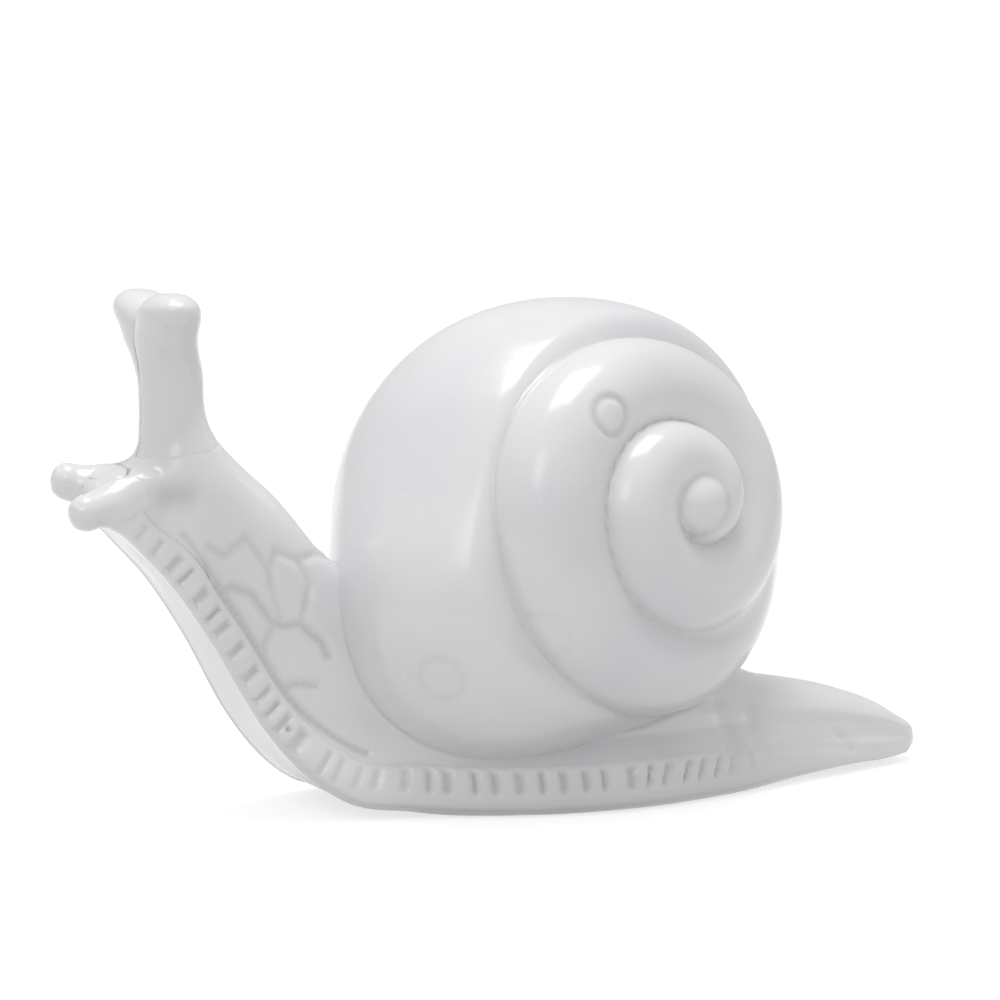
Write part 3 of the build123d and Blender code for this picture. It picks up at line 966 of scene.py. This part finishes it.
for name, shape in feelers.items():
    points = bare_feeler(*shape)
    points = swell(points, feeler_neighbour_gap, head_fillet(points))
    feeler_mesh = make_mesh(name, points, tube_faces(*points.shape[:2]))
    store(feeler_mesh, "pool_and_shade", np.zeros(points.shape[:2]))
    close_poles(feeler_mesh)
    feeler = add_object("snail_" + name, feeler_mesh, feeler_glaze)
    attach(feeler, "root")
    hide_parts(name)

# Felt pads: four discs die cut from ivory wool felt, with soft, slightly ragged rims.
# They are stuck under the sole to keep the fired clay off the table.
felt_low, felt_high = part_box("felt_pads")
pad_radius = 6 * mm
pad_height = felt_high.z - felt_low.z
fluff_depth = 0.3 * mm
felt = bpy.data.materials.new("ivory_wool_felt")
felt.use_nodes = True
felt_tree = felt.node_tree
felt_shader = felt_tree.nodes["Principled BSDF"]
felt_place = add_node(felt_tree, "ShaderNodeTexCoord").outputs["Object"]
fibres = add_node(
    felt_tree, "ShaderNodeTexNoise", Vector=felt_place, Scale=1800.0, Detail=4.0, Distortion=2.0
)
felt_ramp = add_node(felt_tree, "ShaderNodeValToRGB", Fac=fibres.outputs["Fac"])
felt_ramp.color_ramp.elements[0].color = (0.62, 0.60, 0.56, 1)
felt_ramp.color_ramp.elements[1].color = (0.80, 0.78, 0.74, 1)
link(felt_tree, felt_ramp.outputs["Color"], felt_shader.inputs["Base Color"])
felt_bump = add_node(
    felt_tree, "ShaderNodeBump", Height=fibres.outputs["Fac"], Strength=0.8, Distance=fluff_depth
)
link(felt_tree, felt_bump.outputs["Normal"], felt_shader.inputs["Normal"])
felt_shader.inputs["Roughness"].default_value = 0.95
felt_shader.inputs["Sheen Weight"].default_value = 0.4
pad_points = 64
pad_profile_shares = [
    (0.0, 0.0), (0.93, 0.0), (0.99, 0.18), (1.0, 0.5), (0.985, 0.85), (0.93, 1.0), (0.0, 1.0),
]
pad_inset_share = 0.99
coarse_ragged_share = 0.006
fine_ragged_share = 0.005
pad_rings = []
angles = np.linspace(0, 2 * math.pi, pad_points, endpoint=False)
ragged = 1 + coarse_ragged_share * np.sin(17 * angles) + fine_ragged_share * np.sin(29 * angles)
pad_rim = pad_radius * ragged * pad_inset_share
for pad_x in (felt_low.x + pad_radius, felt_high.x - pad_radius):
    for pad_y in (felt_low.y + pad_radius, felt_high.y - pad_radius):
        for rim_share, level_share in pad_profile_shares:
            ring_x = pad_x + rim_share * pad_rim * np.cos(angles)
            ring_y = pad_y + rim_share * pad_rim * np.sin(angles)
            ring_z = np.full(pad_points, felt_low.z + level_share * pad_height)
            pad_rings.append(np.column_stack([ring_x, ring_y, ring_z]))
pad_quads = tube_faces(len(pad_profile_shares), pad_points)
pad_size = len(pad_profile_shares) * pad_points
pad_count = len(pad_rings) // len(pad_profile_shares)
all_pad_quads = np.concatenate([pad_quads + index * pad_size for index in range(pad_count)])
pads_mesh = make_mesh("felt_pads", np.array(pad_rings), all_pad_quads)
close_poles(pads_mesh)
pads = add_object("felt_foot_pads", pads_mesh, felt)
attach(pads, "root")
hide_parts("felt_pads")

# Studio: pale floor, a broad soft lamp overhead, a window-like lamp on the left and white surroundings
scene = bpy.context.scene
scene.view_settings.view_transform = "Standard"
floor_half = 6.0
floor_corners = [(floor_half * x, floor_half * y, 0) for x, y in ((-1, -1), (1, -1), (1, 1), (-1, 1))]
floor_mesh = bpy.data.meshes.new("studio_floor")
floor_mesh.from_pydata(floor_corners, [], [(0, 1, 2, 3)])


def seen_directly(tree):
    """One where a ray comes from the camera, a mirror or glass, and nothing where it only carries light."""
    path = add_node(tree, "ShaderNodeLightPath")
    seen = Field(tree, path.outputs["Is Camera Ray"]).step("MAXIMUM", path.outputs["Is Glossy Ray"])
    return seen.step("MAXIMUM", path.outputs["Is Transmission Ray"]).socket


floor_paint = bpy.data.materials.new("pale_floor")
floor_paint.use_nodes = True
floor_tree = floor_paint.node_tree
floor_tree.nodes.remove(floor_tree.nodes["Principled BSDF"])
carrying = add_node(floor_tree, "ShaderNodeBsdfDiffuse", Color=(0.65, 0.65, 0.65, 1))
shadowed = add_node(floor_tree, "ShaderNodeBsdfDiffuse", Color=(0.45, 0.45, 0.45, 1))
glowing = add_node(floor_tree, "ShaderNodeEmission", Color=(1, 1, 1, 1), Strength=0.72)
lifted = floor_tree.nodes.new("ShaderNodeAddShader")
link(floor_tree, shadowed.outputs["BSDF"], lifted.inputs[0])
link(floor_tree, glowing.outputs["Emission"], lifted.inputs[1])
chosen = floor_tree.nodes.new("ShaderNodeMixShader")
link(floor_tree, seen_directly(floor_tree), chosen.inputs["Fac"])
link(floor_tree, carrying.outputs["BSDF"], chosen.inputs[1])
link(floor_tree, lifted.outputs["Shader"], chosen.inputs[2])
link(floor_tree, chosen.outputs["Shader"], floor_tree.nodes["Material Output"].inputs["Surface"])
floor = add_object("studio_floor", floor_mesh, floor_paint)

world = bpy.data.worlds.new("white_studio")
scene.world = world
world.use_nodes = True
world_tree = world.node_tree
fill_light = world_tree.nodes["Background"]
fill_light.inputs["Color"].default_value = (1, 1, 1, 1)
fill_light.inputs["Strength"].default_value = 0.645
backdrop = add_node(world_tree, "ShaderNodeBackground", Color=(1, 1, 1, 1), Strength=1.0)
world_mix = world_tree.nodes.new("ShaderNodeMixShader")
world_path = add_node(world_tree, "ShaderNodeLightPath")
link(world_tree, world_path.outputs["Is Camera Ray"], world_mix.inputs["Fac"])
link(world_tree, fill_light.outputs["Background"], world_mix.inputs[1])
link(world_tree, backdrop.outputs["Background"], world_mix.inputs[2])
link(world_tree, world_mix.outputs["Shader"], world_tree.nodes["World Output"].inputs["Surface"])

object_middle = Vector((0, 0, 50)) * mm
overhead_place = Vector((-0.05, 0.05, 1.1))
overhead_width = 0.55
overhead_power = 5.6
window_place = Vector((-0.75, -0.65, 0.8))
window_width = 0.4
window_power = 1.15


def add_lamp(name, place, width, power):
    """A square area lamp that faces the figurine."""
    lamp = bpy.data.lights.new(name, "AREA")
    lamp.size = width
    lamp.energy = power
    holder = bpy.data.objects.new(name, lamp)
    holder.location = place
    holder.rotation_euler = (object_middle - place).to_track_quat("-Z", "Y").to_euler()
    scene.collection.objects.link(holder)


add_lamp("overhead_softbox", overhead_place, overhead_width, overhead_power)
add_lamp("window_left", window_place, window_width, window_power)

# Camera at the photograph's angle
camera_azimuth = math.radians(-24.2)
camera_elevation = math.radians(8.8)
camera_distance = 1.55
frame_width = 0.2016
aim = Vector((1.35, 0, 59.84)) * mm
camera_back = Vector((
    math.sin(camera_azimuth) * math.cos(camera_elevation),
    -math.cos(camera_azimuth) * math.cos(camera_elevation),
    math.sin(camera_elevation),
))
camera_data = bpy.data.cameras.new("photo_camera")
camera_data.sensor_width = 36
camera_data.lens = camera_data.sensor_width * camera_distance / frame_width
camera = bpy.data.objects.new("photo_camera", camera_data)
camera.location = aim + camera_back * camera_distance
camera.rotation_euler = (-camera_back).to_track_quat("-Z", "Y").to_euler()
scene.collection.objects.link(camera)
scene.camera = camera
